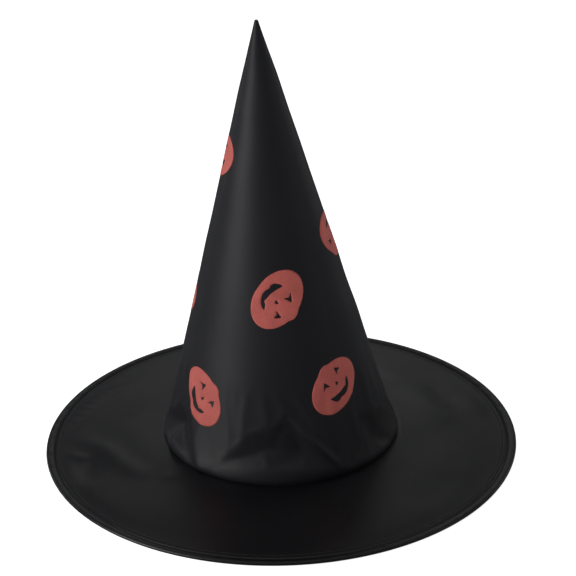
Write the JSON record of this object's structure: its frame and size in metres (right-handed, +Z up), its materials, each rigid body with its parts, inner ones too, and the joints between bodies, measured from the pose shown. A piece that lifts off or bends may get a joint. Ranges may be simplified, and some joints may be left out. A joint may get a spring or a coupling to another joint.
{
  "type": "witch hat",
  "caption": "Pointed costume witch hat with a tall cone crown in printed black cloth and a wide, flat, stiffened round brim.",
  "frame": {"origin": "centre of the brim on the surface that the hat stands on", "axes": "+Z up through the head opening, -Y is the hat's front, the crown's back seam is at +Y"},
  "size_m": [0.3799, 0.38, 0.344],
  "materials": {
    "crown_cloth": "satin",
    "brim_cloth": "satin",
    "crown_stiffener": "matte",
    "brim_stiffener": "matte",
    "wire": "satin",
    "sleeve": "satin",
    "thread": "satin",
    "sweatband": "matte",
    "label": "matte",
    "print_ink": "matte"
  },
  "bodies": {
    "root": {"crown_cone": "crown_cloth", "back_seam": "crown_cloth", "crown_stiffener": "crown_stiffener", "brim_top": "brim_cloth", "brim_underside": "brim_cloth", "brim_stiffener": "brim_stiffener", "rim_wire": "wire", "wire_sleeve": "sleeve", "rim_topstitch": "thread", "sweatband": "sweatband", "sweatband_stitch": "thread", "care_label": "label", "pumpkin_print_01": "print_ink", "pumpkin_print_02": "print_ink", "pumpkin_print_03": "print_ink", "pumpkin_print_04": "print_ink", "pumpkin_print_05": "print_ink", "pumpkin_print_06": "print_ink", "pumpkin_print_07": "print_ink", "pumpkin_print_08": "print_ink", "pumpkin_print_09": "print_ink", "pumpkin_print_10": "print_ink", "pumpkin_print_11": "print_ink"}
  },
  "joints": []
}
